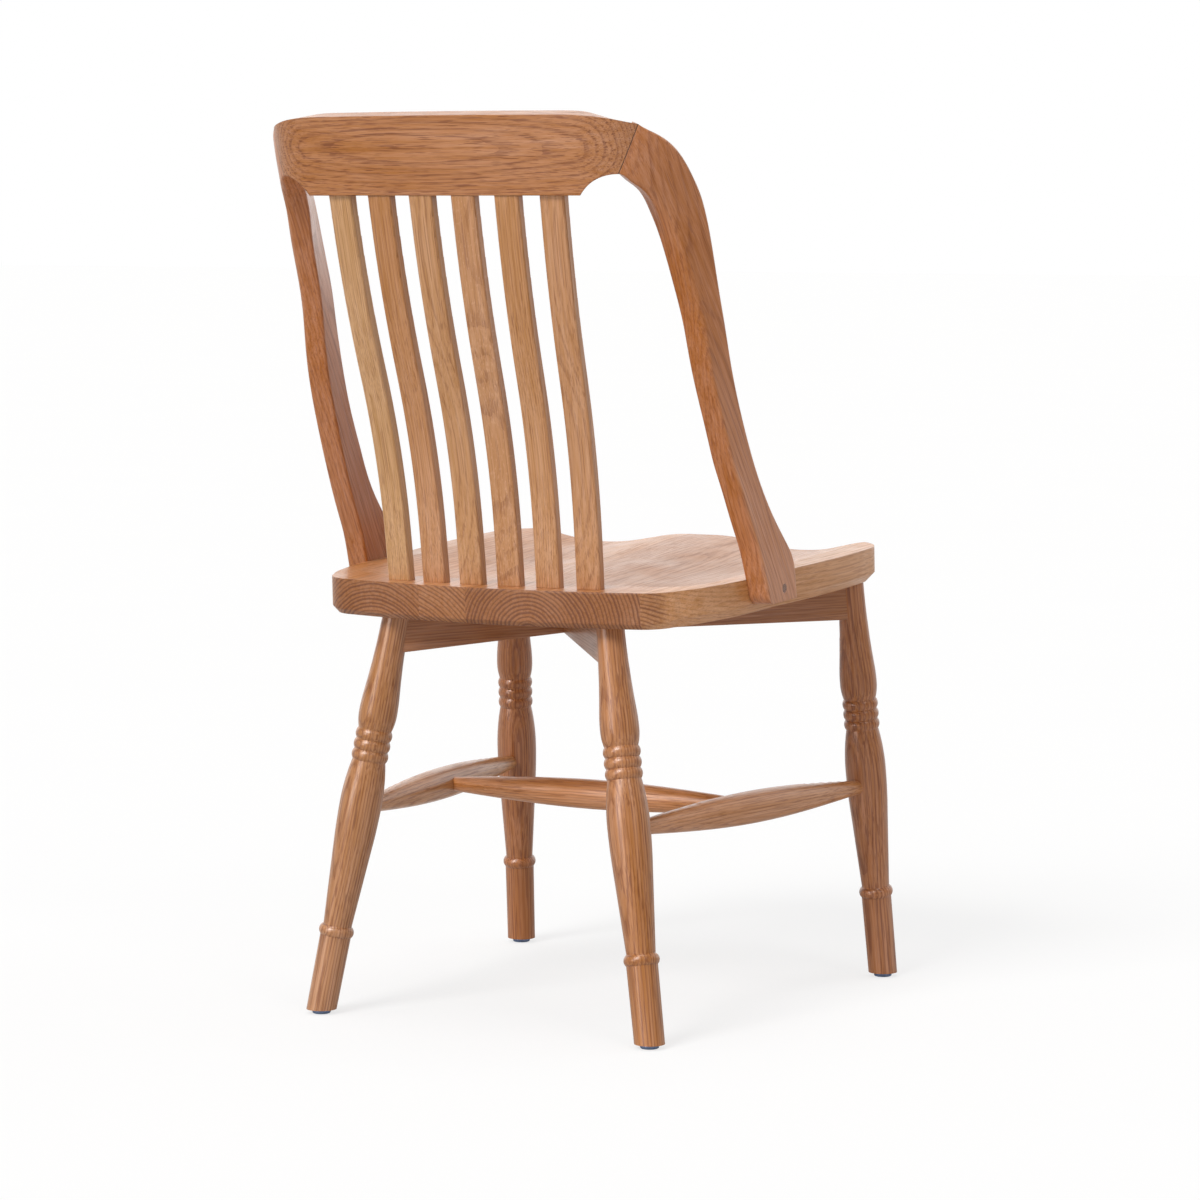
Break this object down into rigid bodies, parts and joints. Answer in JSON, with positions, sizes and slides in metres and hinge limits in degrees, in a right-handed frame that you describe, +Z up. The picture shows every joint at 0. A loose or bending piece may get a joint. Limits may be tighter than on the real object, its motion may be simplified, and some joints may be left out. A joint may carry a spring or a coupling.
{
  "type": "slat-back dining chair",
  "caption": "Lacquered oak kitchen chair with a deep crest rail, slim curved slats, turned legs and turned stretchers.",
  "frame": {"origin": "on the floor under the middle of the chair's outer box", "axes": "+Z up, the sitter faces -Y, +X is the sitter's left"},
  "size_m": [0.4864, 0.5655, 0.9025],
  "materials": {
    "oak_slats": "oak, clear satin lacquer, the palest pieces",
    "beech": "plain beech dowel, unfinished",
    "oak_frame": "oak, clear satin lacquer",
    "glide_plastic": "slightly translucent blue plastic",
    "steel": "zinc-plated steel",
    "oak_plug": "end-grain oak plug, clear satin lacquer",
    "oak_seat": "glued-up oak, clear satin lacquer"
  },
  "bodies": {
    "root": {"back_slat_1": "oak_slats", "back_slat_2": "oak_slats", "back_slat_3": "oak_slats", "back_slat_4": "oak_slats", "back_slat_5": "oak_slats", "back_slat_6": "oak_slats", "crest_dowels_left": "beech", "crest_dowels_right": "beech", "crest_rail": "oak_frame", "glide_front_left": "glide_plastic", "glide_front_right": "glide_plastic", "glide_nails": "steel", "glide_rear_left": "glide_plastic", "glide_rear_right": "glide_plastic", "leg_front_left": "oak_frame", "leg_front_right": "oak_frame", "leg_rear_left": "oak_frame", "leg_rear_right": "oak_frame", "post_left": "oak_frame", "post_plug_left": "oak_plug", "post_plug_right": "oak_plug", "post_right": "oak_frame", "post_screw_left": "steel", "post_screw_right": "steel", "seat_board_centre": "oak_seat", "seat_board_left": "oak_seat", "seat_board_left_middle": "oak_seat", "seat_board_right": "oak_seat", "seat_rail_a": "oak_frame", "seat_rail_b": "oak_frame", "seat_screws": "steel", "stretcher_left": "oak_frame", "stretcher_middle": "oak_frame", "stretcher_right": "oak_frame"}
  },
  "joints": []
}
